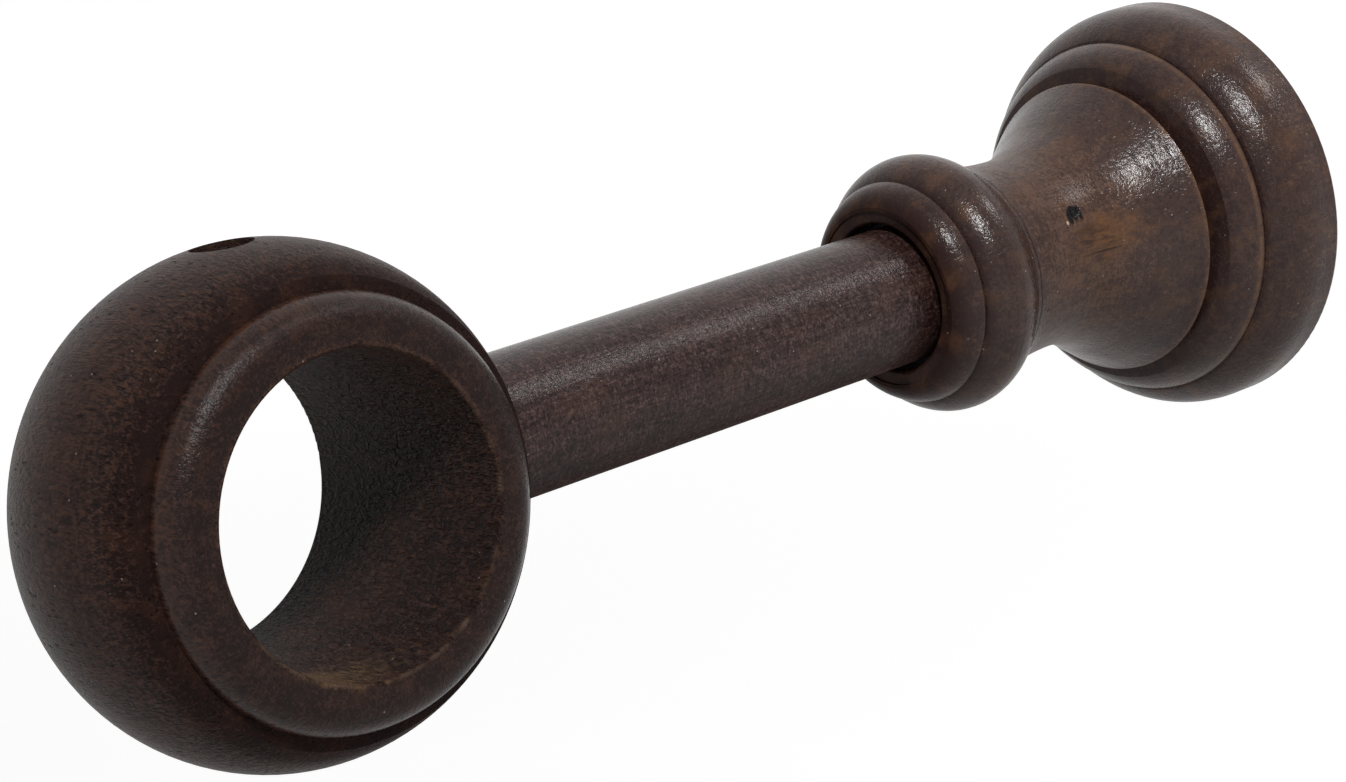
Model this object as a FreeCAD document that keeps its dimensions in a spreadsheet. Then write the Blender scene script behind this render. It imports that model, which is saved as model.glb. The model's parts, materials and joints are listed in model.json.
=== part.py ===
import FreeCAD, Part
import math
import os
import re

import Sketcher
from FreeCAD import Placement, Rotation, Vector

# Curtain pole bracket in dark stained wood: a turned ring for the pole, a dowel arm and a turned rose that
# is bolted to the wall. The origin is the centre of the pole's bore. The pole runs along X, the arm along Y,
# the wall is the plane Y = projection, and +Z is up.

doc = FreeCAD.newDocument("curtain_pole_bracket")

# Driving dimensions, in millimetres. Every radius of the ring is a wall thickness outside the pole's bore.
# The rose's mouldings follow one another: each has its own length along the axis and its own step in radius.
SIZES = [
    # the pole and its distance from the wall
    ("pole_radius", 14.0),
    ("pole_play", 1.25),
    ("projection", 129.2),
    # ring: crowned body between two rounded lips
    ("ring_width", 29.8),
    ("ring_wall", 9.85),
    ("shoulder_wall", 6.46),
    ("shoulder_run", 0.4),
    ("lip_wall", 5.1),
    ("lip_round", 3.35),
    ("lip_setback", 0.1),
    ("quirk_sink", 0.25),
    ("bore_arris", 0.35),
    # screw hole in the top of the ring
    ("screw_radius", 1.6),
    ("screw_head_play", 1.5),
    ("screw_head_depth", 4.0),
    # arm
    ("arm_radius", 7.5),
    ("arm_chamfer", 0.5),
    ("glue_gap", 0.05),
    ("seat_web", 3.15),
    # rose: length of each moulding, from the wall outwards
    ("flange_arris", 0.5),
    ("flange_band", 3.0),
    ("ovolo_length", 5.9),
    ("flange_quirk_length", 0.25),
    ("step_fillet_length", 0.2),
    ("step_bead_length", 3.25),
    ("step_fall_length", 0.6),
    ("cove_rim_length", 1.1),
    ("cove_slope_length", 5.7),
    ("cove_length", 7.85),
    ("neck_length", 9.75),
    ("collar_back_length", 3.9),
    ("collar_front_length", 3.7),
    ("collar_quirk_length", 0.25),
    ("front_fillet_length", 0.35),
    ("front_lip_length", 2.8),
    # rose: step in radius at each moulding, from the arm's mouth outwards
    ("mouth_gap", 0.7),
    ("front_recess_width", 1.5),
    ("front_lip_land", 0.4),
    ("front_lip_rise", 2.2),
    ("front_fillet_rise", 0.35),
    ("collar_quirk_rise", 0.46),
    ("collar_front_rise", 1.94),
    ("collar_back_rise", 2.255),
    ("neck_flare", 1.195),
    ("cove_rise", 2.25),
    ("cove_slope_rise", 3.6),
    ("cove_rim_rise", 0.85),
    ("step_fall_rise", 2.3),
    ("step_bead_rise", 2.2),
    ("step_fillet_rise", 0.45),
    ("flange_quirk_rise", 0.75),
    ("ovolo_rise", 2.8),
    # rose: roundness of the two beads, and depths cut into the front
    ("front_lip_round", 4.0),
    ("step_bead_round", 7.0),
    ("front_recess_depth", 0.2),
    ("mouth_depth", 4.0),
    ("mouth_arris", 0.4),
    # threaded insert in the back of the rose, and the wood between its hole and the arm's socket
    ("thread_radius", 2.5),
    ("insert_wall", 2.5),
    ("insert_length", 13.0),
    ("insert_recess", 0.5),
    ("insert_chamfer", 0.4),
    ("insert_hole_spare", 3.5),
    ("hex_step", 0.5),
    ("hex_depth", 3.5),
    ("socket_web", 5.6),
]

# Sizes that follow from the driving dimensions.
DERIVED = [
    # ring
    ("bore_radius", "=pole_radius + pole_play"),
    ("ring_half_width", "=ring_width / 2"),
    ("ring_radius", "=bore_radius + ring_wall"),
    ("lip_top_at", "=ring_half_width - lip_round"),
    ("lip_radius", "=bore_radius + lip_wall"),
    ("lip_face_radius", "=lip_radius - lip_round"),
    ("quirk_at", "=lip_top_at - lip_setback"),
    ("quirk_radius", "=lip_radius - quirk_sink"),
    ("shoulder_at", "=quirk_at - shoulder_run"),
    ("shoulder_radius", "=bore_radius + shoulder_wall"),
    ("crown_rise", "=ring_radius - shoulder_radius"),
    ("crown_round", "=(shoulder_at ^ 2 + crown_rise ^ 2) / (2 * crown_rise)"),
    ("seat_floor", "=bore_radius + seat_web"),
    ("screw_head_radius", "=screw_radius + screw_head_play"),
    ("screw_head_floor", "=ring_radius - screw_head_depth"),
    # rose: distance of each moulding's end from the wall
    ("ovolo_end", "=flange_band + ovolo_length"),
    ("flange_quirk_at", "=ovolo_end + flange_quirk_length"),
    ("step_bead_start", "=flange_quirk_at + step_fillet_length"),
    ("step_bead_end", "=step_bead_start + step_bead_length"),
    ("step_foot_at", "=step_bead_end + step_fall_length"),
    ("cove_rim_at", "=step_foot_at + cove_rim_length"),
    ("cove_start", "=cove_rim_at + cove_slope_length"),
    ("neck_at", "=cove_start + cove_length"),
    ("collar_start", "=neck_at + neck_length"),
    ("collar_at", "=collar_start + collar_back_length"),
    ("collar_end", "=collar_at + collar_front_length"),
    ("collar_quirk_at", "=collar_end + collar_quirk_length"),
    ("front_lip_start", "=collar_quirk_at + front_fillet_length"),
    ("rose_length", "=front_lip_start + front_lip_length"),
    # rose: radius at each moulding's end
    ("socket_radius", "=arm_radius + glue_gap"),
    ("mouth_radius", "=arm_radius + mouth_gap"),
    ("front_recess_radius", "=mouth_radius + front_recess_width"),
    ("front_lip_end_radius", "=front_recess_radius + front_lip_land"),
    ("front_lip_radius", "=front_lip_end_radius + front_lip_rise"),
    ("collar_quirk_radius", "=front_lip_radius - front_fillet_rise"),
    ("collar_end_radius", "=collar_quirk_radius + collar_quirk_rise"),
    ("collar_radius", "=collar_end_radius + collar_front_rise"),
    ("collar_root_radius", "=collar_radius - collar_back_rise"),
    ("neck_radius", "=collar_root_radius - neck_flare"),
    ("cove_radius", "=neck_radius + cove_rise"),
    ("cove_rim_radius", "=cove_radius + cove_slope_rise"),
    ("step_foot_radius", "=cove_rim_radius - cove_rim_rise"),
    ("step_bead_end_radius", "=step_foot_radius + step_fall_rise"),
    ("step_bead_radius", "=step_bead_end_radius + step_bead_rise"),
    ("flange_quirk_radius", "=step_bead_radius - step_fillet_rise"),
    ("ovolo_end_radius", "=flange_quirk_radius + flange_quirk_rise"),
    ("flange_radius", "=ovolo_end_radius + ovolo_rise"),
    # arm socket, insert and their depths
    ("insert_radius", "=thread_radius + insert_wall"),
    ("insert_hole_depth", "=insert_recess + insert_length + insert_hole_spare"),
    ("hex_radius", "=2 * (thread_radius + hex_step) / sqrt(3)"),
    ("socket_floor", "=insert_hole_depth + socket_web"),
    ("front_recess_floor", "=rose_length - front_recess_depth"),
    ("mouth_floor", "=rose_length - mouth_depth"),
    ("arm_length", "=projection - seat_floor - socket_floor"),
]


def make_sheet():
    """Fill the spreadsheet with one named row for each size."""
    sheet = doc.addObject("Spreadsheet::Sheet", "Sizes")
    for row, (name, value) in enumerate(SIZES + DERIVED, start=1):
        sheet.set("A%d" % row, name)
        sheet.set("B%d" % row, str(value))
        sheet.setAlias("B%d" % row, name)
    doc.recompute()
    return sheet


sheet = make_sheet()


def size(expression):
    """The value of an expression in the sheet's names."""
    return float(sheet.evalExpression(expression))


def bound(expression):
    """The same expression, as another object writes it."""
    return re.sub(r"\b(?!sqrt)([a-z]\w*)", r"Sizes.\1", expression)


def plane(body, role):
    """One of the body's own origin planes or axes."""
    return next(item for item in body.Origin.OriginFeatures if item.Role == role)


def new_body(name):
    body = doc.addObject("PartDesign::Body", name)
    body.Label = name
    return body


def new_sketch(body, name, role, offset=None):
    """A sketch on an origin plane, lifted off it by a bound offset where one is given."""
    sketch = body.newObject("Sketcher::SketchObject", name)
    sketch.AttachmentSupport = [(plane(body, role), "")]
    sketch.MapMode = "FlatFace"
    if offset:
        sketch.setExpression("AttachmentOffset.Base.z", bound(offset))
    return sketch


class Outline:
    """A closed outline in a sketch, drawn corner by corner and held by the sheet's sizes.

    A corner is a pair of expressions: its distance across and its distance up from the sketch's origin.
    """

    def __init__(self, sketch, across, up):
        self.sketch = sketch
        self.start = (across, up)
        self.here = self.start
        self.last = None
        self.first = None

    def point(self, corner):
        return Vector(size(corner[0]), size(corner[1]), 0)

    def hold(self, kind, edge, vertex, expression):
        """Hold a vertex at its distance from the sketch's origin, or on the axis itself."""
        if expression == "0":
            axis = -2 if kind == "DistanceX" else -1
            self.sketch.addConstraint(Sketcher.Constraint("PointOnObject", edge, vertex, axis))
            return
        constraint = Sketcher.Constraint(kind, -1, 1, edge, vertex, size(expression))
        number = self.sketch.addConstraint(constraint)
        self.sketch.setExpression("Constraints[%d]" % number, bound(expression))

    def join(self, edge, tail, tip, corner):
        """Tie a new edge to the one before it, and hold its far end at the corner."""
        if self.last:
            self.sketch.addConstraint(Sketcher.Constraint("Coincident", *self.last, edge, tail))
        else:
            self.first = (edge, tail)
        self.hold("DistanceX", edge, tip, corner[0])
        self.hold("DistanceY", edge, tip, corner[1])
        self.last = (edge, tip)
        self.here = corner
        if corner == self.start:
            self.sketch.addConstraint(Sketcher.Constraint("Coincident", *self.last, *self.first))

    def line(self, across, up):
        corner = (across, up)
        edge = self.sketch.addGeometry(Part.LineSegment(self.point(self.here), self.point(corner)))
        self.join(edge, 1, 2, corner)

    def draw_arc(self, centre, corner):
        """Draw the shorter arc about a centre; a sketch always keeps arcs anticlockwise."""
        start = self.point(self.here)
        end = self.point(corner)
        angles = [math.atan2(p.y - centre.y, p.x - centre.x) for p in (start, end)]
        forwards = (angles[1] - angles[0]) % (2 * math.pi) < math.pi
        if not forwards:
            angles.reverse()
        circle = Part.Circle(centre, Vector(0, 0, 1), (start - centre).Length)
        edge = self.sketch.addGeometry(Part.ArcOfCircle(circle, angles[0], angles[1]))
        tail, tip = (1, 2) if forwards else (2, 1)
        self.join(edge, tail, tip, corner)
        return edge

    def arc_square_to(self, across, up, centre_across=None, centre_up=None):
        """An arc to a corner, with its centre on a given line across or up the sketch."""
        corner = (across, up)
        start = self.point(self.here)
        end = self.point(corner)
        middle = (start + end) * 0.5
        chord = end - start
        if centre_across is not None:
            x = size(centre_across)
            centre = Vector(x, middle.y - (x - middle.x) * chord.x / chord.y, 0)
        else:
            y = size(centre_up)
            centre = Vector(middle.x - (y - middle.y) * chord.y / chord.x, y, 0)
        edge = self.draw_arc(centre, corner)
        if centre_across is not None:
            self.hold("DistanceX", edge, 3, centre_across)
        else:
            self.hold("DistanceY", edge, 3, centre_up)

    def arc_of(self, radius, across, up, bulge=1):
        """An arc of a given radius, swelling to the right of its way (bulge 1) or to the left (-1)."""
        corner = (across, up)
        start = self.point(self.here)
        end = self.point(corner)
        chord = end - start
        depth = math.sqrt(size(radius) ** 2 - chord.Length ** 2 / 4)
        left = Vector(-chord.y, chord.x, 0).normalize()
        edge = self.draw_arc((start + end) * 0.5 + left * depth * bulge, corner)
        number = self.sketch.addConstraint(Sketcher.Constraint("Radius", edge, size(radius)))
        self.sketch.setExpression("Constraints[%d]" % number, bound(radius))


def revolve(body, sketch, axis):
    """Turn an outline once round an axis of its own sketch, as on a lathe."""
    turning = body.newObject("PartDesign::Revolution", body.Name + "_turning")
    turning.Profile = sketch
    turning.ReferenceAxis = (sketch, [axis])
    turning.Angle = 360
    sketch.Visibility = False
    doc.recompute()
    return turning


def circle_sketch(body, name, role, radius, offset=None):
    """A circle about the sketch's origin."""
    sketch = new_sketch(body, name, role, offset)
    edge = sketch.addGeometry(Part.Circle(Vector(0, 0, 0), Vector(0, 0, 1), size(radius)))
    sketch.addConstraint(Sketcher.Constraint("Coincident", edge, 3, -1, 1))
    number = sketch.addConstraint(Sketcher.Constraint("Radius", edge, size(radius)))
    sketch.setExpression("Constraints[%d]" % number, bound(radius))
    return sketch


def drill(body, sketch, reverse=False, depth=None):
    """Cut a sketch out of the body, right through or to a bound depth, and see that it cuts."""
    before = body.Shape.Volume
    pocket = body.newObject("PartDesign::Pocket", sketch.Name + "_cut")
    pocket.Profile = sketch
    pocket.Reversed = reverse
    if depth:
        pocket.Type = "Length"
        pocket.setExpression("Length", bound(depth))
    else:
        pocket.Type = "ThroughAll"
    sketch.Visibility = False
    doc.recompute()
    if body.Shape.Volume > before - 0.1:
        raise RuntimeError(pocket.Name + " cuts nothing")
    return pocket


def rims(feature, radius):
    """The names of a feature's round edges of one radius."""
    names = []
    for number, edge in enumerate(feature.Shape.Edges, start=1):
        if hasattr(edge.Curve, "Radius") and abs(edge.Curve.Radius - size(radius)) < 1e-6:
            names.append("Edge%d" % number)
    return names


def make_ring():
    """The pole ring, turned about X: a crowned body, and on each face a rounded lip beside a quirk."""
    body = new_body("pole_ring")
    profile = new_sketch(body, "ring_profile", "XZ_Plane")
    outline = Outline(profile, "bore_arris - ring_half_width", "bore_radius")
    outline.line("ring_half_width - bore_arris", "bore_radius")
    outline.arc_square_to("ring_half_width", "bore_radius + bore_arris", centre_up="bore_radius + bore_arris")
    outline.line("ring_half_width", "lip_face_radius")
    outline.arc_square_to("lip_top_at", "lip_radius", centre_across="lip_top_at")
    outline.line("quirk_at", "quirk_radius")
    outline.arc_square_to("shoulder_at", "shoulder_radius", centre_up="quirk_radius")
    outline.arc_of("crown_round", "-shoulder_at", "shoulder_radius")
    outline.arc_square_to("-quirk_at", "quirk_radius", centre_up="quirk_radius")
    outline.line("-lip_top_at", "lip_radius")
    outline.arc_square_to("-ring_half_width", "lip_face_radius", centre_across="-lip_top_at")
    outline.line("-ring_half_width", "bore_radius + bore_arris")
    outline.arc_square_to("bore_arris - ring_half_width", "bore_radius", centre_up="bore_radius + bore_arris")
    revolve(body, profile, "H_Axis")
    drill(body, circle_sketch(body, "arm_seat", "XZ_Plane", "socket_radius", "-seat_floor"))
    drill(body, circle_sketch(body, "screw_hole", "XY_Plane", "screw_radius"), reverse=True)
    head_hole = circle_sketch(body, "screw_head_hole", "XY_Plane", "screw_head_radius", "screw_head_floor")
    drill(body, head_hole, reverse=True)
    return body


def make_arm():
    """The arm, a plain dowel glued into the ring and the rose, with its two ends chamfered."""
    body = new_body("arm")
    dowel = body.newObject("PartDesign::Pad", "dowel")
    dowel.Profile = circle_sketch(body, "dowel_section", "XY_Plane", "arm_radius")
    dowel.setExpression("Length", bound("arm_length"))
    doc.recompute()
    ends = body.newObject("PartDesign::Chamfer", "dowel_ends")
    ends.Base = (dowel, rims(dowel, "arm_radius"))
    ends.setExpression("Size", bound("arm_chamfer"))
    body.Placement = OUT_OF_THE_WALL
    body.setExpression("Placement.Base.y", bound("projection - socket_floor"))
    return body


def make_rose():
    """The wall rose, turned about its own axis: flange, step bead, cove, neck, collar bead and front lip."""
    body = new_body("wall_rose")
    profile = new_sketch(body, "rose_profile", "XZ_Plane")
    outline = Outline(profile, "0", "0")
    outline.line("flange_radius - flange_arris", "0")
    outline.arc_square_to("flange_radius", "flange_arris", centre_up="flange_arris")
    outline.line("flange_radius", "flange_band")
    outline.arc_square_to("ovolo_end_radius", "ovolo_end", centre_up="flange_band")
    outline.line("flange_quirk_radius", "flange_quirk_at")
    outline.line("step_bead_radius", "step_bead_start")
    outline.arc_of("step_bead_round", "step_bead_end_radius", "step_bead_end")
    outline.line("step_foot_radius", "step_foot_at")
    outline.line("cove_rim_radius", "cove_rim_at")
    outline.line("cove_radius", "cove_start")
    outline.arc_square_to("neck_radius", "neck_at", centre_up="neck_at")
    outline.arc_square_to("collar_root_radius", "collar_start", centre_up="neck_at")
    outline.arc_square_to("collar_radius", "collar_at", centre_up="collar_at")
    outline.arc_square_to("collar_end_radius", "collar_end", centre_up="collar_at")
    outline.line("collar_quirk_radius", "collar_quirk_at")
    outline.line("front_lip_radius", "front_lip_start")
    outline.arc_of("front_lip_round", "front_lip_end_radius", "rose_length")
    outline.line("front_recess_radius", "rose_length")
    outline.line("front_recess_radius", "front_recess_floor")
    outline.line("0", "front_recess_floor")
    outline.line("0", "0")
    revolve(body, profile, "V_Axis")
    socket_circle = circle_sketch(body, "arm_socket", "XY_Plane", "socket_radius", "socket_floor")
    drill(body, socket_circle, reverse=True)
    mouth_circle = circle_sketch(body, "arm_mouth", "XY_Plane", "mouth_radius", "mouth_floor")
    mouth = drill(body, mouth_circle, reverse=True)
    arris = body.newObject("PartDesign::Fillet", "mouth_arris")
    middle = size("(mouth_floor + front_recess_floor) / 2")
    both_rims = rims(mouth, "mouth_radius")
    front_rim = [name for name in both_rims if mouth.Shape.getElement(name).CenterOfMass.z > middle]
    arris.Base = (mouth, front_rim)
    arris.setExpression("Radius", bound("mouth_arris"))
    doc.recompute()
    drill(body, circle_sketch(body, "insert_hole", "XY_Plane", "insert_radius", "insert_hole_depth"))
    body.Placement = OUT_OF_THE_WALL
    body.setExpression("Placement.Base.y", bound("projection"))
    return body


def make_insert():
    """The insert nut in the back of the rose: a sleeve with a hexagon socket in front of its thread."""
    body = new_body("threaded_insert")
    sleeve = body.newObject("PartDesign::Pad", "sleeve")
    sleeve.Profile = circle_sketch(body, "sleeve_section", "XY_Plane", "insert_radius")
    sleeve.setExpression("Length", bound("insert_length"))
    doc.recompute()
    ends = body.newObject("PartDesign::Chamfer", "sleeve_ends")
    ends.Base = (sleeve, rims(sleeve, "insert_radius"))
    ends.setExpression("Size", bound("insert_chamfer"))
    doc.recompute()
    drill(body, circle_sketch(body, "thread_core", "XY_Plane", "thread_radius"), reverse=True)
    drill(body, hexagon_sketch(body, "hex_socket"), reverse=True, depth="hex_depth")
    body.Placement = OUT_OF_THE_WALL
    body.setExpression("Placement.Base.y", bound("projection - insert_recess"))
    return body


def hexagon_sketch(body, name):
    """A regular hexagon about the sketch's origin, held by the circle round its corners."""
    sketch = circle_sketch(body, name, "XY_Plane", "hex_radius")
    guide = 0
    sketch.toggleConstruction(guide)
    corners = [Vector(size("hex_radius"), 0, 0)]
    for turn in range(5):
        corners.append(Rotation(Vector(0, 0, 1), 60 * (turn + 1)).multVec(corners[0]))
    sides = []
    for start, end in zip(corners, corners[1:] + corners[:1]):
        sides.append(sketch.addGeometry(Part.LineSegment(start, end)))
    for side, following in zip(sides, sides[1:] + sides[:1]):
        sketch.addConstraint(Sketcher.Constraint("Coincident", side, 2, following, 1))
        sketch.addConstraint(Sketcher.Constraint("PointOnObject", side, 2, guide))
    for side in sides[1:]:
        sketch.addConstraint(Sketcher.Constraint("Equal", sides[0], side))
    sketch.addConstraint(Sketcher.Constraint("PointOnObject", sides[0], 1, -1))
    return sketch


def check_document():
    """Stop if any object failed to compute."""
    for item in doc.Objects:
        if "Invalid" in item.State or "Error" in item.State:
            raise RuntimeError("%s did not compute: %s" % (item.Label, item.State))


def export(bodies):
    """Write each piece to its own file, placed in the bracket's frame."""
    for body in bodies:
        if body.Shape.isNull() or not body.Shape.isValid():
            raise RuntimeError(body.Label + " has no valid shape")
    os.makedirs("parts", exist_ok=True)
    for body in bodies:
        body.Shape.exportStep("parts/%s.step" % body.Label)
        print("%s: %d solid, %.1f mm3" % (body.Label, len(body.Shape.Solids), body.Shape.Volume))


# A turned piece's own Z, its lathe axis, points out of the wall along -Y.
OUT_OF_THE_WALL = Placement(Vector(0, 0, 0), Rotation(Vector(1, 0, 0), 90))

pieces = [make_ring(), make_arm(), make_rose(), make_insert()]
doc.recompute()
check_document()
export(pieces)
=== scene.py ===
import json
import math

import bpy
from mathutils import Matrix, Vector


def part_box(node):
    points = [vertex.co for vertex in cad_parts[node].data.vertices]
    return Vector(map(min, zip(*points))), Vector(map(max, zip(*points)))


bl_info = {
    "name": "Turned Pole Bracket",
    "version": (1, 0, 0),
    "blender": (4, 5, 0),
    "location": "3D View > Sidebar > Bracket",
    "description": "Stains and lacquers a turned curtain pole bracket and sets it up for a picture",
    "category": "Object",
}

# The bracket's frame: X is the pole's axis, +Y points at the wall, +Z is up and the origin is the centre of the
# pole's bore. Blender works in metres and the finishes below in millimetres, which is how wood grain is measured.
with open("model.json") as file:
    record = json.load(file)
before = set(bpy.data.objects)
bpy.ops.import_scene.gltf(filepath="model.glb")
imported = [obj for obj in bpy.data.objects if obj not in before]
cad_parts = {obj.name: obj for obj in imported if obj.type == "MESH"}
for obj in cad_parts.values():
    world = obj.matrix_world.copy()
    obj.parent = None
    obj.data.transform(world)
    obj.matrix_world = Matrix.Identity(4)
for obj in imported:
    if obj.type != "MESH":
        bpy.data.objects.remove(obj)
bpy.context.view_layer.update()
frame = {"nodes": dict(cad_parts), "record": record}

MM = 1000.0
X, Y, Z = 0, 1, 2
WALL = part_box("wall_rose")[1].y * MM
BORE_RADIUS = next(m["dims"]["r_mm"] for m in frame["record"]["mounts"] if m["name"] == "pole_bore")

# The photograph that the camera matches, in pixels, and the width of the camera's sensor in millimetres.
PICTURE_WIDTH = 1346
PICTURE_HEIGHT = 782
SENSOR_WIDTH = 36.0

WHITE = (1.0, 1.0, 1.0, 1.0)


class Reading:
    """One output of a shader node. Arithmetic on readings adds Math nodes, so a pattern reads as a formula."""

    def __init__(self, recipe, socket):
        self.recipe = recipe
        self.socket = socket

    def math(self, operation, *values):
        """The result of a Math node that takes these values."""
        return self.recipe.node("ShaderNodeMath", {"operation": operation}, dict(enumerate(values)))

    def __add__(self, other):
        return self.math("ADD", self, other)

    def __sub__(self, other):
        return self.math("SUBTRACT", self, other)

    def __rsub__(self, other):
        return self.math("SUBTRACT", other, self)

    def __mul__(self, other):
        return self.math("MULTIPLY", self, other)

    def __truediv__(self, other):
        return self.math("DIVIDE", self, other)

    def __pow__(self, other):
        return self.math("POWER", self, other)

    def __abs__(self):
        return self.math("ABSOLUTE", self)

    __radd__ = __add__
    __rmul__ = __mul__


class Recipe:
    """A node tree, with the few ways of adding a node that the finishes and the room need."""

    MIX_FACTOR, MIX_A, MIX_B, MIX_RESULT = 0, 6, 7, 2

    def __init__(self, owner, output_kind):
        """Empty the nodes of a material or of the world, and give it an output of this kind."""
        owner.use_nodes = True
        self.tree = owner.node_tree
        self.tree.nodes.clear()
        self.output = self.tree.nodes.new(output_kind)

    def node(self, kind, settings=None, values=None, output=0):
        """Add a node, set it up, feed its sockets with numbers or readings, and read one of its outputs."""
        node = self.tree.nodes.new(kind)
        for key, setting in (settings or {}).items():
            if key == "stops":
                self.set_stops(node.color_ramp, setting)
            else:
                setattr(node, key, setting)
        for key, value in (values or {}).items():
            if isinstance(value, Reading):
                self.tree.links.new(value.socket, node.inputs[key])
            else:
                node.inputs[key].default_value = value
        return Reading(self, node.outputs[output])

    @staticmethod
    def set_stops(ramp, stops):
        """Give a ramp its stops, each a place from 0 to 1 and a level of grey."""
        while len(ramp.elements) < len(stops):
            ramp.elements.new(1.0)
        for element, (place, level) in zip(ramp.elements, stops):
            element.position = place
            element.color = (level, level, level, 1.0)

    def place(self):
        """The point being coloured, in millimetres."""
        here = self.node("ShaderNodeTexCoord", output="Object")
        return self.node("ShaderNodeVectorMath", {"operation": "MULTIPLY"}, {0: here, 1: (MM, MM, MM)})

    def split(self, vector):
        """The x, y and z of a vector."""
        parts = self.node("ShaderNodeSeparateXYZ", values={0: vector}).socket.node.outputs
        return [Reading(self, part) for part in parts]

    def join(self, first, second, third):
        """The vector with this x, y and z."""
        return self.node("ShaderNodeCombineXYZ", values={0: first, 1: second, 2: third})

    def noise(self, vector, detail, roughness, distortion=0.0):
        """Noise about 0, mostly within half a unit of it, whose blotches are about one unit across."""
        values = {"Vector": vector, "Scale": 1.0, "Detail": detail, "Roughness": roughness,
                  "Distortion": distortion}
        return self.node("ShaderNodeTexNoise", {"noise_dimensions": "3D"}, values) - 0.5

    def nearest(self, vector):
        """Distance to the nearest of many scattered points that are about one unit apart."""
        return self.node("ShaderNodeTexVoronoi", {"feature": "F1"}, {"Vector": vector, "Scale": 1.0})

    def step(self, value, low, high):
        """A soft step that is 0 below low and 1 above high, or the other way round where high is less."""
        values = {"Value": value, "From Min": low, "From Max": high}
        return self.node("ShaderNodeMapRange", {"interpolation_type": "SMOOTHSTEP"}, values)

    def mix(self, factor, first, second):
        """A blend of two colours: the first at factor 0 and the second at 1."""
        values = {self.MIX_FACTOR: factor, self.MIX_A: first, self.MIX_B: second}
        return self.node("ShaderNodeMix", {"data_type": "RGBA"}, values, self.MIX_RESULT)

    def profile(self, stops, value):
        """A level that follows a list of (place, level), straight from one to the next."""
        first, last = stops[0][0], stops[-1][0]
        shares = [((place - first) / (last - first), level) for place, level in stops]
        return self.node("ShaderNodeValToRGB", {"stops": shares}, {"Fac": (value - first) / (last - first)})

    def background_rays(self):
        """1 for the rays that show the background: the camera's, and those that metal, lacquer and glass send on."""
        camera = self.node("ShaderNodeLightPath", output="Is Camera Ray")
        glossy = self.node("ShaderNodeLightPath", output="Is Glossy Ray")
        through = self.node("ShaderNodeLightPath", output="Is Transmission Ray")
        return camera + glossy + through

    def finish_with(self, shader):
        """Send a shader to the output."""
        self.tree.links.new(shader.socket, self.output.inputs["Surface"])


class Finish(Recipe):
    """The recipe of one material."""

    def __init__(self, name):
        """Make a new material of this name."""
        self.material = bpy.data.materials.new(name)
        super().__init__(self.material, "ShaderNodeOutputMaterial")

    def dress(self, node_name):
        """Give a piece of the frame this finish."""
        slots = frame["nodes"][node_name].data.materials
        slots.clear()
        slots.append(self.material)


def colour(picked):
    """A colour property as a shader socket takes it."""
    return (*picked, 1.0)


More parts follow.
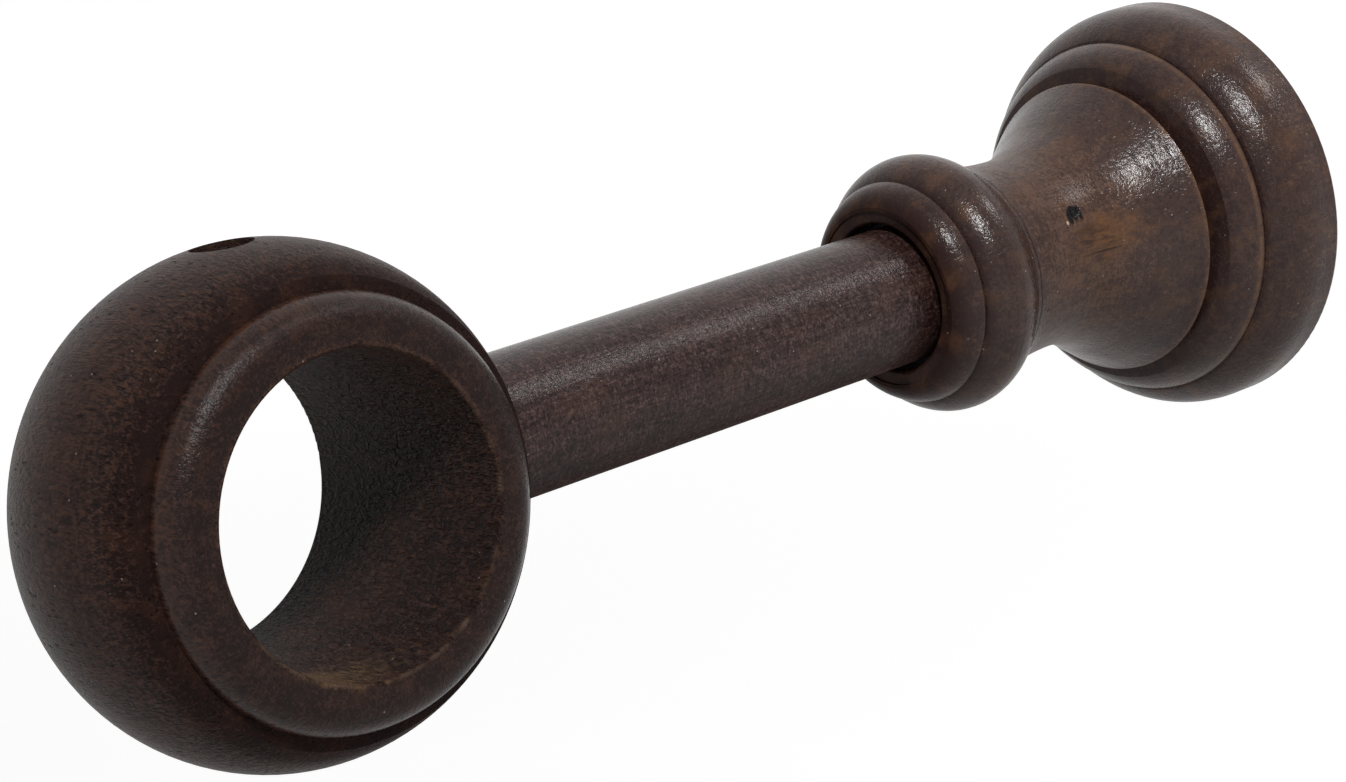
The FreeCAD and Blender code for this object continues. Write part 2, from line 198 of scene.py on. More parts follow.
class Wood(Finish):
    """The finish of a stained and lacquered turning, whose grain runs along its lathe axis.

    along is the place on that axis, and a and b are the other two directions, all in millimetres.
    """

    # detail and roughness of a noise in which the wood's fibres show
    FIBROUS = (3.0, 0.6)
    # each kind of grain: its length and width, then the detail, roughness and distortion of its noise
    FIBRES = (1.5, 0.17, *FIBROUS)
    STREAKS = (15.0, 0.9, *FIBROUS)
    BLOTCHES = (7.0, 3.5, *FIBROUS, 0.6)
    MOTTLE = (0.9, 0.55, 2.0, 0.6)
    EMBERS = (6.5, 3.4, 2.0, 0.5, 0.4)
    # the same for the curls, whose length and width the stain says, and for the tool's rings
    CURLED = (1.5, 0.5, 1.0)
    TOOLED = (1.0, 0.6)
    # the lacquer was sprayed from above, so this share of it missed the underside
    MISSED_BELOW = 0.35
    # from one pore to the next with and across the grain, from one speck of dust, ring of the tool and year ring to
    # the next, the length of a ring's unbroken pieces, and the place of the pith beside the turning
    PORE_LENGTH, PORE_WIDTH = 2.1, 0.60
    DUST_SPACING = 2.3
    TOOL_SPACING, TOOL_PIECE = 0.3, 3.0
    YEAR_SPACING, PITH_A, PITH_B = 2.3, -11.0, 26.0
    # how much darker the stain is in the year rings and where the grain ends, and how much more it curls in torn grain
    YEAR_SHADE, END_SHADE, TORN_CURL = 0.10, 0.12, 0.6
    # how plain the pores and the dust are
    PORE_SHARE, DUST_SHARE = 0.75, 0.8
    # heights in the relief
    TORN_HEIGHT, BLOTCH_HEIGHT, PORE_DEPTH, HOLLOW_DEPTH = 0.22, 0.08, 0.06, 0.05
    # how much rougher the lacquer is over fibres and pores
    FIBRE_ROUGHNESS, PORE_ROUGHNESS = 0.10, 0.35
    REFRACTION = 1.48
    BARE_ROUGHNESS, BARE_GLOSS = 0.95, 0.04

    def __init__(self, name, along, a, b, seed):
        """Start the finish: along, a and b say which axes of the frame run with and across the grain."""
        super().__init__(name)
        self.where = self.place()
        parts = self.split(self.where)
        self.along, self.a, self.b = parts[along], parts[a], parts[b]
        self.radius = (self.a ** 2 + self.b ** 2) ** 0.5
        self.seed = seed
        facing = self.split(self.node("ShaderNodeTexCoord", output="Normal"))
        self.end_grain = self.step(abs(facing[along]), 0.55, 0.95)
        self.underside = self.step(facing[Z], -0.10, -0.90) * self.MISSED_BELOW
        self.layers = []
        self.hollows = 0.0
        self.torn = 0.0
        self.calm = 0.0

    def grain(self, length, width, detail=2.0, roughness=0.5, distortion=0.0):
        """Noise whose blotches are so long with the grain and so wide across it."""
        vector = self.join(self.along / length + self.seed, self.a / width, self.b / width)
        return self.noise(vector, detail, roughness, distortion)

    def pores(self):
        """Open pores, in groups: short dashes with the grain, and dots where the grain ends."""
        cells = self.join(self.along / self.PORE_LENGTH, self.a / self.PORE_WIDTH + self.seed,
                          self.b / self.PORE_WIDTH)
        dashes = self.step(self.nearest(cells), 0.29, 0.17)
        groups = self.step(self.grain(9.0, 2.2), -0.10, 0.12)
        return dashes * groups

    def lathe_rings(self):
        """Rings left by the tool and the sandpaper, broken up round the turning."""
        vector = self.join(self.along / self.TOOL_SPACING, self.a / self.TOOL_PIECE + self.seed,
                           self.b / self.TOOL_PIECE)
        return self.noise(vector, *self.TOOLED)

    def year_rings(self):
        """Year rings round a pith that lies beside the turning: each darkens slowly and ends at once."""
        from_pith = ((self.a - self.PITH_A) ** 2 + (self.b - self.PITH_B) ** 2) ** 0.5
        reach = from_pith + self.grain(30.0, 8.0, detail=1.0) * 5.0
        year = reach.math("FRACT", reach / self.YEAR_SPACING)
        return self.step(year, 0.0, 0.8) * self.step(year, 1.0, 0.85)

    def dust(self):
        """Pale specks of dust that stuck in the lacquer."""
        cells = self.node("ShaderNodeVectorMath", {"operation": "SCALE"},
                          {0: self.where, "Scale": 1 / self.DUST_SPACING})
        return self.step(self.nearest(cells), 0.055, 0.03)

    def spot(self, centre, reach, ragged, soft):
        """A spot that is 1 in its middle and 0 outside its reach along x, y and z, with a ragged and soft rim."""
        off = self.node("ShaderNodeVectorMath", {"operation": "SUBTRACT"}, {0: self.where, 1: centre})
        off = self.node("ShaderNodeVectorMath", {"operation": "DIVIDE"}, {0: off, 1: reach})
        away = self.node("ShaderNodeVectorMath", {"operation": "LENGTH"}, {0: off}, "Value")
        return self.step(away + self.grain(1.4, 0.8, *self.FIBROUS) * ragged, 1.0, 1.0 - soft)

    def scored(self, place, width):
        """A thin line round the turning, a little unsteady."""
        unsteady = self.grain(60.0, 7.0) * 0.5
        return self.step(abs(self.along - place + unsteady), width, 0.0)

    def lay(self, share, picked):
        """Lay a colour over the stain, by its share at each place."""
        self.layers.append((share, picked))

    def lacquer(self, stain, looks, level, dull):
        """Stain, lacquer and relief. level runs from 0, darkest, as in the quirks and in the painted shade of the
        rose's mouth, to 1, where the stain is rubbed thin, and dull is 1 where the lacquer is missing."""
        pores = self.pores() * stain.open_pores
        fibres = self.grain(*self.FIBRES)
        streaks = self.grain(*self.STREAKS)
        blotches = self.grain(*self.BLOTCHES)
        mottle = self.grain(*self.MOTTLE)
        squiggles = self.grain(stain.curl_length, stain.curl_width, *self.CURLED)
        tool_rings = self.lathe_rings()

        drift = (blotches * 0.6 + streaks * 0.5 + mottle * 0.5) * stain.drift
        curl = (squiggles * 1.2 + fibres * 0.7 + tool_rings * 0.3) * (stain.curl * (1 + self.torn * self.TORN_CURL))
        shade = self.year_rings() * self.YEAR_SHADE + self.end_grain * self.END_SHADE + self.hollows
        tone = level + drift + curl - shade
        body = self.mix(self.step(tone, 0.0, 0.5), colour(stain.deep), colour(stain.middle))
        body = self.mix(self.step(tone, 0.5, 1.05), body, colour(stain.worn))
        embers = self.step(self.grain(*self.EMBERS) + mottle * 0.25 + fibres * 0.25, -0.05, 0.32)
        body = self.mix(embers * stain.ember_share, body, colour(stain.ember))
        for share, picked in self.layers:
            body = self.mix(share, body, picked)
        body = self.mix(pores * self.PORE_SHARE, body, colour(stain.pore))
        body = self.mix(self.dust() * self.DUST_SHARE, body, colour(looks.dust))

        relief = (squiggles * (stain.squiggles + self.torn * self.TORN_HEIGHT) + fibres * stain.raised_grain
                  + tool_rings * stain.tool_marks + blotches * self.BLOTCH_HEIGHT - pores * self.PORE_DEPTH
                  - self.hollows * self.HOLLOW_DEPTH) * (1 - self.calm)
        bump = self.node("ShaderNodeBump", values={"Height": relief, "Strength": 1.0, "Distance": 1 / MM})
        roughness = stain.lacquer_roughness + fibres * self.FIBRE_ROUGHNESS + pores * self.PORE_ROUGHNESS
        lacquered = self.node("ShaderNodeBsdfPrincipled", values={
            "Base Color": body, "Roughness": roughness, "Normal": bump, "IOR": self.REFRACTION,
            "Specular IOR Level": stain.gloss})
        bare = self.node("ShaderNodeBsdfPrincipled", values={
            "Base Color": body, "Roughness": self.BARE_ROUGHNESS, "Normal": bump, "IOR": self.REFRACTION,
            "Specular IOR Level": self.BARE_GLOSS})
        missing = dull + (1 - dull) * self.underside
        self.finish_with(self.node("ShaderNodeMixShader", values={0: missing, 1: lacquered, 2: bare}))


def picked_colour(name, description, default):
    """A colour that can be picked in the sidebar."""
    return bpy.props.FloatVectorProperty(
        name=name, description=description, default=default, subtype="COLOR", size=3, min=0, max=1)


def picked_share(name, description, default):
    """A share from 0 to 1."""
    return bpy.props.FloatProperty(
        name=name, description=description, default=default, subtype="FACTOR", min=0, max=1)


def picked_amount(name, description, default):
    """A strength, where 1 is plain."""
    return bpy.props.FloatProperty(name=name, description=description, default=default, min=0, max=4)


def picked_length(name, description, default):
    """A size of the grain, in millimetres."""
    return bpy.props.FloatProperty(
        name=name, description=description + ", in millimetres", default=default, min=0.05, max=10, precision=2)


def picked_height(name, description, default):
    """A height in the relief, in millimetres."""
    return bpy.props.FloatProperty(
        name=name, description=description + ", in millimetres", default=default, min=0, max=0.4, precision=3)


class RingStain(bpy.types.PropertyGroup):
    """The stain, the lacquer and the relief of the pole ring, the darkest and the roughest turning."""

    deep: picked_colour("Deep", "Where the stain has pooled", (0.0140, 0.0074, 0.0066))
    middle: picked_colour("Middle", "Most of the surface", (0.032, 0.0163, 0.0130))
    worn: picked_colour("Worn", "Where the stain is rubbed thin", (0.057, 0.0276, 0.0185))
    ember: picked_colour("Ember", "Patches where the wood shows through", (0.062, 0.0255, 0.0145))
    # on the ring this colour is partly rubbed stain and partly a painted highlight along the bore's arris
    rubbed: picked_colour("Rubbed", "Arrises that are rubbed bare", (0.150, 0.0950, 0.0700))
    # the colour of a painted pool of light low in the bore
    wiped: picked_colour("Wiped", "The patch low in the bore where the stain was wiped off", (0.130, 0.0780, 0.0400))
    pore: picked_colour("Pore", "Stain caught in the pores", (0.003, 0.0015, 0.0015))
    ember_share: picked_share("Ember Share", "How plain the patches are", 0.32)
    drift: picked_amount("Drift", "How much the stain varies from place to place", 0.6)
    curl: picked_amount("Curl", "How much the stain follows the fine curls of the grain", 1.9)
    open_pores: picked_share("Open Pores", "How plain the pores are", 0.9)
    gloss: picked_share("Gloss", "How much the lacquer mirrors", 0.14)
    lacquer_roughness: picked_share("Lacquer Roughness", "How matt the lacquer is", 0.21)
    squiggles: picked_height("Squiggles", "Height of the raised curls under the lacquer", 0.125)
    curl_length: picked_length("Curl Length", "Size of a curl with the grain", 0.95)
    curl_width: picked_length("Curl Width", "Size of a curl across the grain", 0.40)
    raised_grain: picked_height("Raised Grain", "Height of the raised fibres", 0.110)
    tool_marks: picked_height("Tool Marks", "Height of the lathe's rings", 0.012)


class ArmStain(bpy.types.PropertyGroup):
    """The stain, the lacquer and the relief of the arm."""

    # deep is also the colour of the painted shade inside the rose's mouth
    deep: picked_colour("Deep", "Where the stain has pooled", (0.012, 0.0050, 0.0040))
    middle: picked_colour("Middle", "Most of the surface", (0.036, 0.0193, 0.0174))
    worn: picked_colour("Worn", "Where the stain is rubbed thin", (0.096, 0.0580, 0.0520))
    ember: picked_colour("Ember", "Patches where the wood shows through", (0.080, 0.0380, 0.0240))
    pore: picked_colour("Pore", "Stain caught in the pores", (0.008, 0.0040, 0.0035))
    ember_share: picked_share("Ember Share", "How plain the patches are", 0.38)
    drift: picked_amount("Drift", "How much the stain varies from place to place", 0.8)
    curl: picked_amount("Curl", "How much the stain follows the fine curls of the grain", 1.9)
    open_pores: picked_share("Open Pores", "How plain the pores are", 0.25)
    gloss: picked_share("Gloss", "How much the lacquer mirrors", 0.18)
    lacquer_roughness: picked_share("Lacquer Roughness", "How matt the lacquer is", 0.20)
    squiggles: picked_height("Squiggles", "Height of the raised curls under the lacquer", 0.050)
    curl_length: picked_length("Curl Length", "Size of a curl with the grain", 0.30)
    curl_width: picked_length("Curl Width", "Size of a curl across the grain", 0.46)
    raised_grain: picked_height("Raised Grain", "Height of the raised fibres", 0.024)
    tool_marks: picked_height("Tool Marks", "Height of the lathe's rings", 0.022)


class RoseStain(bpy.types.PropertyGroup):
    """The stain, the lacquer and the relief of the wall rose, the lightest and glossiest turning."""

    # deep is also the colour of the painted shade where the front lip turns into the mouth
    deep: picked_colour("Deep", "Where the stain has pooled", (0.025, 0.0118, 0.0104))
    middle: picked_colour("Middle", "Most of the surface", (0.0465, 0.0236, 0.0188))
    worn: picked_colour("Worn", "Where the stain is rubbed thin", (0.102, 0.0560, 0.0385))
    ember: picked_colour("Ember", "Patches where the wood shows through", (0.130, 0.0600, 0.0260))
    rubbed: picked_colour("Rubbed", "Arrises that are rubbed bare", (0.170, 0.0850, 0.0420))
    rotten: picked_colour("Rotten", "The middle of the knot", (0.0015, 0.0010, 0.0010))
    speck: picked_colour("Speck", "The lit speck of lacquer beside the knot", (0.42, 0.36, 0.28))
    pore: picked_colour("Pore", "Stain caught in the pores", (0.010, 0.0045, 0.0035))
    ember_share: picked_share("Ember Share", "How plain the patches are", 0.40)
    drift: picked_amount("Drift", "How much the stain varies from place to place", 1.0)
    curl: picked_amount("Curl", "How much the stain follows the fine curls of the grain", 1.2)
    open_pores: picked_share("Open Pores", "How plain the pores are", 0.35)
    gloss: picked_share("Gloss", "How much the lacquer mirrors", 0.27)
    lacquer_roughness: picked_share("Lacquer Roughness", "How matt the lacquer is", 0.20)
    squiggles: picked_height("Squiggles", "Height of the raised curls under the lacquer", 0.050)
    curl_length: picked_length("Curl Length", "Size of a curl with the grain", 0.36)
    curl_width: picked_length("Curl Width", "Size of a curl across the grain", 0.50)
    raised_grain: picked_height("Raised Grain", "Height of the raised fibres", 0.017)
    tool_marks: picked_height("Tool Marks", "Height of the lathe's rings", 0.014)


class Lacquer(bpy.types.PropertyGroup):
    """What all the turnings share."""

    dust: picked_colour("Dust", "Specks caught in the lacquer", (0.26, 0.22, 0.20))


class ZincPlate(bpy.types.PropertyGroup):
    """The plating of the threaded insert."""

    clouded: picked_colour("Clouded", "The darker clouds in the zinc", (0.42, 0.41, 0.38))
    bright: picked_colour("Bright", "The zinc between the clouds", (0.58, 0.55, 0.47))
    roughness: picked_share("Roughness", "How matt the zinc is", 0.36)


class Studio(bpy.types.PropertyGroup):
    """The camera and the lamps."""

    azimuth: bpy.props.FloatProperty(
        name="Azimuth", description="Turn of the camera round the bracket", default=math.radians(51.1763),
        subtype="ANGLE")
    elevation: bpy.props.FloatProperty(
        name="Elevation", description="Height of the camera over the horizon", default=math.radians(11.3671),
        subtype="ANGLE")
    roll: bpy.props.FloatProperty(
        name="Roll", description="Tilt of the picture", default=math.radians(9.9131), subtype="ANGLE")
    distance: bpy.props.FloatProperty(
        name="Distance", description="From the camera to the middle of the ring", default=0.309176,
        subtype="DISTANCE", unit="LENGTH")
    focal_pixels: bpy.props.FloatProperty(
        name="Focal Length", description="In pixels of the photograph", default=3313.73)
    ring_across: bpy.props.FloatProperty(
        name="Ring Across", description="Pixel column of the ring's middle in the photograph", default=273.78)
    ring_down: bpy.props.FloatProperty(
        name="Ring Down", description="Pixel row of the ring's middle in the photograph", default=504.94)
    key_power: bpy.props.FloatProperty(
        name="Key", description="Power of the soft box over the camera", default=21.0, min=0, subtype="POWER",
        unit="POWER")
    overhead_power: bpy.props.FloatProperty(
        name="Overhead", description="Power of the soft box over the arm", default=2.7, min=0, subtype="POWER",
        unit="POWER")
    back_power: bpy.props.FloatProperty(
        name="Back", description="Power of the large panel behind the bracket", default=0.6, min=0,
        subtype="POWER", unit="POWER")
    room_light: bpy.props.FloatProperty(
        name="Room", description="Light from the room on every side", default=0.09, min=0)


class BRACKET_OT_stain_ring(bpy.types.Operator):
    """Stain and lacquer the pole ring, whose grain runs along the pole"""

    bl_idname = "bracket.stain_ring"
    bl_label = "Stain Ring"

    # the stain and the missing lacquer by distance from the ring's middle: crown, quirk, lip and face
    LEVEL = ((0.0, 0.58), (6.0, 0.54), (8.6, 0.38), (10.2, 0.14), (11.3, 0.04), (11.7, 0.42), (12.3, 0.66),
             (13.2, 0.50), (14.2, 0.36), (14.9, 0.30))
    DULL = ((0.0, 0.52), (7.5, 0.58), (9.6, 0.85), (11.4, 0.90), (11.9, 0.05), (13.6, 0.0), (14.9, 0.35))
    # the same in the bore, by height: darker low down and lighter towards the top
    BORE_LEVEL = ((-15.0, 0.24), (-4.0, 0.24), (6.0, 0.62), (15.0, 0.94))
    BORE_DULL = 0.70
    # the tool tore the grain on the belly's flank
    TORN = ((0.0, 0.0), (5.0, 0.1), (7.6, 0.9), (10.4, 0.8), (11.2, 0.0), (14.9, 0.1))
    # the lip is smoother than the rest, and some stain is rubbed off its outer edge
    LIP_CALM = 0.60
    LIP_EDGE = 12.0
    # the middle and the reach of a lighter patch low in the bore: a painted pool of light, where the light falls in
    # through the bore
    WIPED_AT, WIPED_REACH = (9.4, -5.6, -12.8), (7.6, 10.5, 6.6)

    def execute(self, context):
        stain = context.scene.ring_stain
        wood = Wood("walnut_stained_ring", along=X, a=Y, b=Z, seed=3.7)
        aside = abs(wood.along)
        outside = wood.step(wood.radius, BORE_RADIUS + 0.1, BORE_RADIUS + 0.9)
        in_bore = 1 - outside
        level = wood.profile(self.LEVEL, aside) * outside + in_bore * wood.profile(self.BORE_LEVEL, wood.b)
        dull = wood.profile(self.DULL, aside) * outside + in_bore * self.BORE_DULL
        wood.torn = wood.profile(self.TORN, aside) * outside + in_bore
        wood.calm = wood.step(aside, 11.4, 12.0) * outside * self.LIP_CALM

        # paint the pool of light low in the bore, streaked along the grain
        wiped = wood.spot(self.WIPED_AT, self.WIPED_REACH, ragged=1.4, soft=0.7) * in_bore
        wood.lay(wiped * (0.70 + wood.grain(4.0, 0.4, *wood.FIBROUS) * 3.0), colour(stain.wiped))
        lip_edge = wood.step(abs(aside - self.LIP_EDGE), 0.9, 0.1) * outside
        rubbed = wood.step(wood.grain(5.0, 2.5, *wood.FIBROUS), -0.06, 0.20)
        wood.lay(lip_edge * rubbed * 0.70, colour(stain.ember))
        # a light line round the bore's arris: partly rubbed stain, partly a painted highlight
        arris = wood.step(wood.radius, BORE_RADIUS + 0.55, BORE_RADIUS + 0.1) * wood.step(aside, 14.3, 14.8)
        wood.lay(arris * wood.step(wood.grain(6.0, 3.0), -0.12, 0.2) * 0.5, colour(stain.rubbed))
        wood.lacquer(stain, context.scene.lacquer, level, dull)
        wood.dress("pole_ring")
        return {"FINISHED"}


class BRACKET_OT_stain_arm(bpy.types.Operator):
    """Stain and lacquer the arm, a dowel whose grain runs along it"""

    bl_idname = "bracket.stain_arm"
    bl_label = "Stain Arm"

    # the stain and the missing lacquer by distance from the wall: darkest inside the rose's mouth, which is painted
    # shade, lightest beside it, and darker by the ring
    LEVEL = ((22.0, 0.0), (46.0, 0.05), (49.0, 0.35), (53.0, 0.58), (66.0, 0.54), (92.0, 0.46), (103.0, 0.48),
             (108.0, 0.30), (111.0, 0.20))
    DULL = ((22.0, 0.9), (47.0, 0.7), (51.0, 0.05), (104.0, 0.05), (110.0, 0.4))
    # how much more lacquer missed its underside than on the other turnings
    MORE_MISSED = 2.8

    def execute(self, context):
        wood = Wood("walnut_stained_arm", along=Y, a=X, b=Z, seed=11.3)
        from_wall = WALL - wood.along
        wood.underside = wood.underside * self.MORE_MISSED
        wood.lacquer(context.scene.arm_stain, context.scene.lacquer,
                     wood.profile(self.LEVEL, from_wall), wood.profile(self.DULL, from_wall))
        wood.dress("arm")
        return {"FINISHED"}


class BRACKET_OT_stain_rose(bpy.types.Operator):
    """Stain and lacquer the wall rose, whose grain runs out of the wall"""

    bl_idname = "bracket.stain_rose"
    bl_label = "Stain Rose"

    # the stain and the missing lacquer by distance from the wall: flange, ovolo, quirk, step bead, rim, cove, neck,
    # collar and front lip, which darkens into the mouth as painted shade
    LEVEL = ((0.0, 0.58), (3.0, 0.60), (5.0, 0.54), (7.0, 0.40), (8.6, 0.30), (9.1, 0.30), (9.5, 0.50), (10.4, 0.44),
             (11.8, 0.30), (12.8, 0.20), (13.6, 0.22), (14.1, 0.50), (14.4, 0.64), (14.9, 0.34), (17.0, 0.40),
             (20.0, 0.58), (24.0, 0.80), (31.0, 0.86), (35.5, 0.68), (37.3, 0.52), (37.7, 0.26), (38.4, 0.50),
             (41.0, 0.50), (44.0, 0.32), (45.2, 0.16), (45.7, 0.40), (46.8, 0.28), (48.2, 0.0))
    DULL = ((0.0, 0.25), (3.0, 0.10), (8.4, 0.20), (9.1, 0.60), (9.5, 0.05), (12.0, 0.20), (13.2, 0.70), (14.2, 0.15),
            (16.0, 0.0), (21.0, 0.05), (25.0, 0.45), (34.0, 0.40), (37.2, 0.0), (37.6, 0.50), (38.4, 0.0),
            (44.6, 0.10), (45.4, 0.60), (45.8, 0.10), (47.4, 0.40), (48.6, 0.90))
    # two rims that are rubbed, each with its half width, and two dark sunk lines beside the collar: a fine groove
    # and a line of painted shade along the collar bead's edge
    RIMS = ((14.3, 0.50), (9.7, 0.45))
    SCORED_LINES, SCORED_WIDTH, SCORED_DEPTH = (36.2, 36.95), 0.22, 0.6
    # scratches of the sandpaper across the cove
    SCRATCHED_AT, SCRATCHED_REACH, SCRATCH_DEPTH = (12.2, 112.6, 8.4), (4.0, 3.6, 4.0), 0.9
    # the small knot on the neck: its dark root with three fingers, and the lit speck of lacquer beside them
    KNOT = (
        ((10.0, 101.3, 4.95), (1.6, 1.30, 0.72)),
        ((10.1, 100.55, 4.35), (1.5, 0.42, 0.75)),
        ((10.0, 101.35, 4.75), (1.5, 0.46, 1.10)),
        ((10.0, 102.15, 4.65), (1.5, 0.38, 0.95)),
    )
    SPECK_AT, SPECK_REACH = (10.2, 99.85, 4.0), (1.5, 0.22, 0.26)
    # the orange wood round it, the dark smudge in that, and the crack that runs from it
    HALO_AT, HALO_REACH = (11.5, 104.8, 1.5), (4.2, 6.0, 3.8)
    SMUDGE_AT, SMUDGE_REACH = (11.3, 103.2, 1.5), (3.4, 4.6, 2.2)
    CRACK_AT, CRACK_REACH = (11.4, 104.0, 0.0), (3.0, 3.4, 0.16)

    def execute(self, context):
        stain = context.scene.rose_stain
        wood = Wood("walnut_stained_rose", along=Y, a=X, b=Z, seed=29.1)
        from_wall = WALL - wood.along
        self.score(wood)
        self.discolour(wood, stain)
        self.rub_rims(wood, stain, from_wall)
        self.lay_knot(wood, stain)
        wood.lacquer(stain, context.scene.lacquer,
                     wood.profile(self.LEVEL, from_wall), wood.profile(self.DULL, from_wall))
        wood.dress("wall_rose")
        return {"FINISHED"}

    def score(self, wood):
        """Sink the dark lines beside the collar, a groove and a line of painted shade, and scratch the cove."""
        for place in self.SCORED_LINES:
            wood.hollows = wood.hollows + wood.scored(WALL - place, self.SCORED_WIDTH) * self.SCORED_DEPTH
        scratched = wood.spot(self.SCRATCHED_AT, self.SCRATCHED_REACH, ragged=0.6, soft=0.7)
        scratches = wood.step(wood.grain(0.45, 4.0), 0.02, 0.12)
        wood.hollows = wood.hollows + scratched * scratches * self.SCRATCH_DEPTH

    def discolour(self, wood, stain):
        """Lay the orange wood, the smudge and the crack beside the knot."""
        halo = wood.spot(self.HALO_AT, self.HALO_REACH, ragged=1.8, soft=0.9)
        wood.lay(halo * (0.90 + wood.grain(0.9, 0.4, 2.0, 0.6) * 2.0), colour(stain.ember))
        smudge = wood.spot(self.SMUDGE_AT, self.SMUDGE_REACH, ragged=1.8, soft=0.8)
        streaks = wood.step(wood.grain(2.6, 0.60, *wood.FIBROUS), -0.14, 0.10)
        wood.lay(smudge * streaks * 0.75, colour(stain.deep))
        crack = wood.spot(self.CRACK_AT, self.CRACK_REACH, ragged=0.9, soft=0.6)
        wood.lay(crack * 0.8, colour(stain.pore))

    def rub_rims(self, wood, stain, from_wall):
        """Rub the stain off two rims."""
        rims = 0.0
        for place, half_width in self.RIMS:
            rims = rims + wood.step(abs(from_wall - place), half_width, 0.0)
        wood.lay(rims * (0.35 + wood.grain(1.5, 1.5, *wood.FIBROUS) * 1.6), colour(stain.rubbed))

    def lay_knot(self, wood, stain):
        """Sink the knot's dark root and fingers, and set the lit speck beside them."""
        for centre, reach in self.KNOT:
            rotten = wood.spot(centre, reach, ragged=0.5, soft=0.4)
            wood.hollows = wood.hollows + rotten
            wood.lay(rotten, colour(stain.rotten))
        wood.lay(wood.spot(self.SPECK_AT, self.SPECK_REACH, ragged=0.3, soft=0.4), colour(stain.speck))


class BRACKET_OT_plate_insert(bpy.types.Operator):
    """Plate the threaded insert in the back of the rose with zinc"""

    bl_idname = "bracket.plate_insert"
    bl_label = "Plate Insert"

    # clouds in the zinc and grit in its surface, in millimetres
    CLOUD_SIZE, GRIT_SIZE, GRIT_HEIGHT = 0.9, 0.12, 0.01

    def execute(self, context):
        plate = context.scene.zinc_plate
        finish = Finish("zinc_plated_insert")
        parts = finish.split(finish.place())
        clouds = self.speckle(finish, parts, self.CLOUD_SIZE, detail=3.0)
        grit = self.speckle(finish, parts, self.GRIT_SIZE, detail=2.0)
        tint = finish.mix(finish.step(clouds, -0.15, 0.15), colour(plate.clouded), colour(plate.bright))
        bump = finish.node("ShaderNodeBump", values={
            "Height": grit * self.GRIT_HEIGHT, "Strength": 1.0, "Distance": 1 / MM})
        finish.finish_with(finish.node("ShaderNodeBsdfPrincipled", values={
            "Base Color": tint, "Metallic": 1.0, "Roughness": plate.roughness + clouds * 0.15, "Normal": bump}))
        finish.dress("threaded_insert")
        return {"FINISHED"}

    @staticmethod
    def speckle(finish, parts, size, detail):
        """Noise whose blotches are so many millimetres across."""
        return finish.noise(finish.join(*(part / size for part in parts)), detail, roughness=0.6)


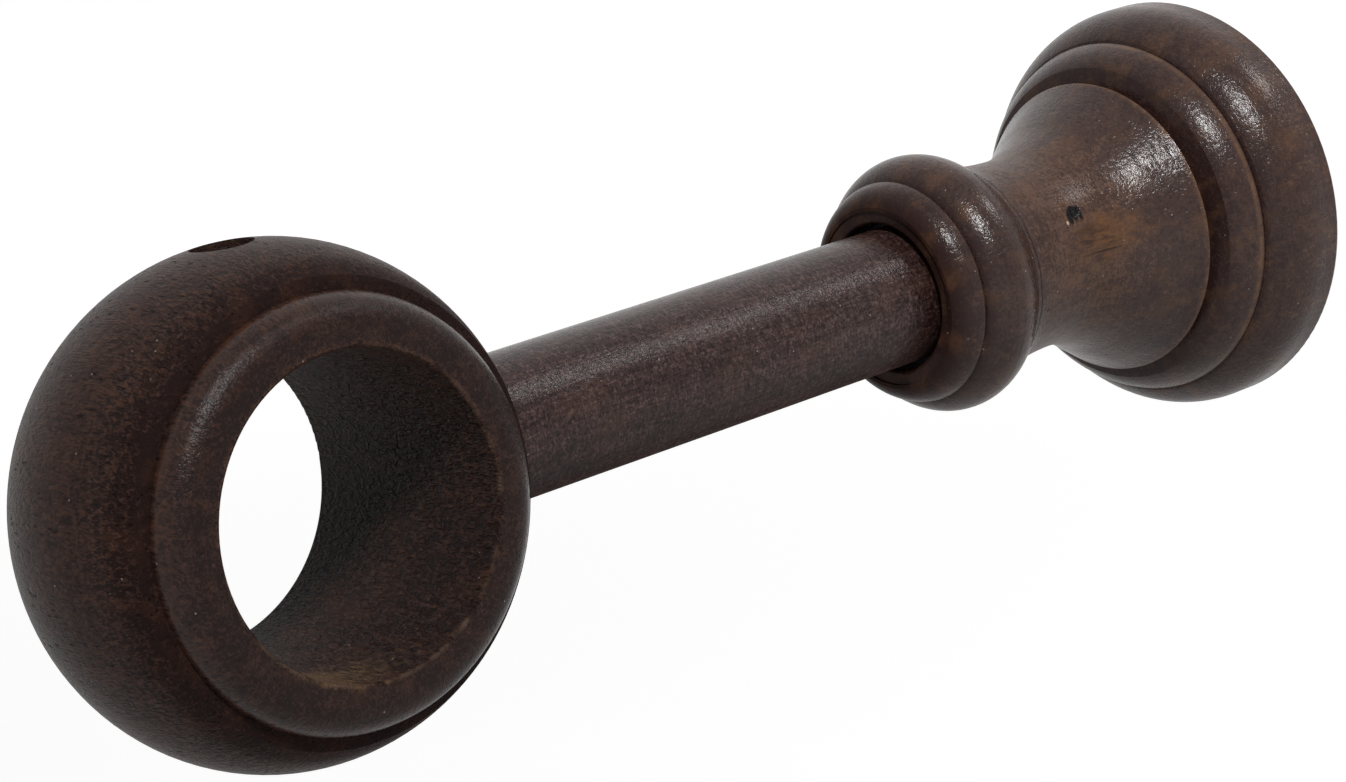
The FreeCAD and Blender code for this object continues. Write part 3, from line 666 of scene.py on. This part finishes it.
class BRACKET_OT_set_stage(bpy.types.Operator):
    """Set the floor, the white background, the lamps and the camera"""

    bl_idname = "bracket.set_stage"
    bl_label = "Set Stage"

    # the floor below the bracket, and the middle of the bracket that the lamps face, in metres
    FLOOR_DROP = 0.15
    FLOOR_SIZE = 6.0
    MIDDLE = Vector((0.0, 0.052, 0.0))
    FLOOR_COLOUR = (0.62, 0.62, 0.62, 1.0)
    # the glow that lifts the floor to white: its strength beside the bracket, and how many millimetres from there it
    # starts to grow and is full
    FLOOR_GLOW, GLOW_STARTS, GLOW_FULL = 0.60, 150.0, 1800.0
    # each lamp's name, direction from the middle, distance, size and the property that holds its power
    LAMPS = (
        ("key_soft_box", (0.620, -0.320, 0.720), 1.6, 0.23, "key_power"),
        ("overhead_soft_box", (0.440, 0.560, 0.702), 1.2, 0.22, "overhead_power"),
        ("back_panel", (-0.444, 0.544, 0.712), 1.2, 1.0, "back_power"),
    )
    # how near and how far the camera sees, in metres
    NEAREST_SEEN, FARTHEST_SEEN = 0.01, 20.0

    def execute(self, context):
        looks = context.scene.studio
        self.add_floor()
        self.light_room(looks)
        for name, direction, distance, size, power in self.LAMPS:
            self.add_lamp(name, direction, distance, size, getattr(looks, power))
        self.add_camera(context, looks)
        return {"FINISHED"}

    def add_floor(self):
        """A pale floor that glows where it is background, and keeps the bracket's shadow."""
        bpy.ops.object.select_all(action="DESELECT")
        bpy.ops.mesh.primitive_plane_add(size=self.FLOOR_SIZE, location=(0, 0, -self.FLOOR_DROP))
        floor = bpy.context.object
        floor.name = "studio_floor"
        finish = Finish("floor_white")
        x, y, _ = finish.split(finish.place())
        away = finish.step((x ** 2 + y ** 2) ** 0.5, self.GLOW_STARTS, self.GLOW_FULL)
        matt = finish.node("ShaderNodeBsdfDiffuse", values={"Color": self.FLOOR_COLOUR})
        glow = finish.background_rays() * (self.FLOOR_GLOW + away * (1 - self.FLOOR_GLOW))
        lift = finish.node("ShaderNodeEmission", values={"Color": WHITE, "Strength": glow})
        finish.finish_with(finish.node("ShaderNodeAddShader", values={0: matt, 1: lift}))
        floor.data.materials.append(finish.material)

    def light_room(self, looks):
        """White wherever the background is seen or mirrored, and a little light from all sides."""
        world = bpy.data.worlds.new("studio_room")
        bpy.context.scene.world = world
        room = Recipe(world, "ShaderNodeOutputWorld")
        level = looks.room_light + room.background_rays() * (1.0 - looks.room_light)
        room.finish_with(room.node("ShaderNodeBackground", values={"Color": WHITE, "Strength": level}))

    def add_lamp(self, name, direction, distance, size, power):
        """A square lamp that faces the middle of the bracket and isn't seen by the camera itself."""
        lamp = bpy.data.lights.new(name, "AREA")
        lamp.size = size
        lamp.energy = power
        holder = bpy.data.objects.new(name, lamp)
        bpy.context.scene.collection.objects.link(holder)
        towards = Vector(direction).normalized()
        holder.location = self.MIDDLE + towards * distance
        holder.rotation_mode = "QUATERNION"
        holder.rotation_quaternion = towards.to_track_quat("Z", "Y")
        holder.visible_camera = False

    def add_camera(self, context, looks):
        """Put the camera where the photograph was taken from."""
        lens = bpy.data.cameras.new("photo_camera")
        lens.sensor_width = SENSOR_WIDTH
        lens.lens = looks.focal_pixels / PICTURE_WIDTH * SENSOR_WIDTH
        lens.clip_start = self.NEAREST_SEEN
        lens.clip_end = self.FARTHEST_SEEN
        camera = bpy.data.objects.new("photo_camera", lens)
        context.scene.collection.objects.link(camera)
        ahead = Vector((-math.sin(looks.azimuth) * math.cos(looks.elevation),
                        math.cos(looks.azimuth) * math.cos(looks.elevation),
                        -math.sin(looks.elevation)))
        level = Vector((math.cos(looks.azimuth), math.sin(looks.azimuth), 0.0))
        below = ahead.cross(level)
        right = level * math.cos(looks.roll) + below * math.sin(looks.roll)
        down = below * math.cos(looks.roll) - level * math.sin(looks.roll)
        aside = (looks.ring_across - PICTURE_WIDTH / 2) / looks.focal_pixels * looks.distance
        under = (looks.ring_down - PICTURE_HEIGHT / 2) / looks.focal_pixels * looks.distance
        turn = Matrix((right, -down, -ahead)).transposed().to_4x4()
        turn.translation = -(right * aside + down * under + ahead * looks.distance)
        camera.matrix_world = turn
        context.scene.camera = camera


class BRACKET_PT_sidebar(bpy.types.Panel):
    """The bracket's finishes and stage, in the order in which they are made"""

    bl_label = "Pole Bracket"
    bl_idname = "BRACKET_PT_sidebar"
    bl_space_type = "VIEW_3D"
    bl_region_type = "UI"
    bl_category = "Bracket"

    def draw(self, context):
        layout = self.layout
        scene = context.scene
        for title, looks, operator in (
                ("Lacquer", scene.lacquer, None),
                ("Ring", scene.ring_stain, "bracket.stain_ring"),
                ("Arm", scene.arm_stain, "bracket.stain_arm"),
                ("Rose", scene.rose_stain, "bracket.stain_rose"),
                ("Insert", scene.zinc_plate, "bracket.plate_insert"),
                ("Studio", scene.studio, "bracket.set_stage")):
            box = layout.box()
            box.label(text=title)
            for name in looks.__annotations__:
                box.prop(looks, name)
            if operator:
                box.operator(operator)


# the scene's settings, by the name under which the operators read them
SETTINGS = {
    "ring_stain": RingStain,
    "arm_stain": ArmStain,
    "rose_stain": RoseStain,
    "lacquer": Lacquer,
    "zinc_plate": ZincPlate,
    "studio": Studio,
}

CLASSES = (
    *SETTINGS.values(), BRACKET_OT_stain_ring, BRACKET_OT_stain_arm, BRACKET_OT_stain_rose, BRACKET_OT_plate_insert,
    BRACKET_OT_set_stage, BRACKET_PT_sidebar,
)


def register():
    for each in CLASSES:
        bpy.utils.register_class(each)
    for name, group in SETTINGS.items():
        setattr(bpy.types.Scene, name, bpy.props.PointerProperty(type=group))


def unregister():
    for name in SETTINGS:
        delattr(bpy.types.Scene, name)
    for each in reversed(CLASSES):
        bpy.utils.unregister_class(each)


def main():
    register()
    bpy.context.scene.view_settings.view_transform = "Standard"
    bpy.ops.bracket.stain_ring()
    bpy.ops.bracket.stain_arm()
    bpy.ops.bracket.stain_rose()
    bpy.ops.bracket.plate_insert()
    bpy.ops.bracket.set_stage()


if __name__ == "__main__":
    main()
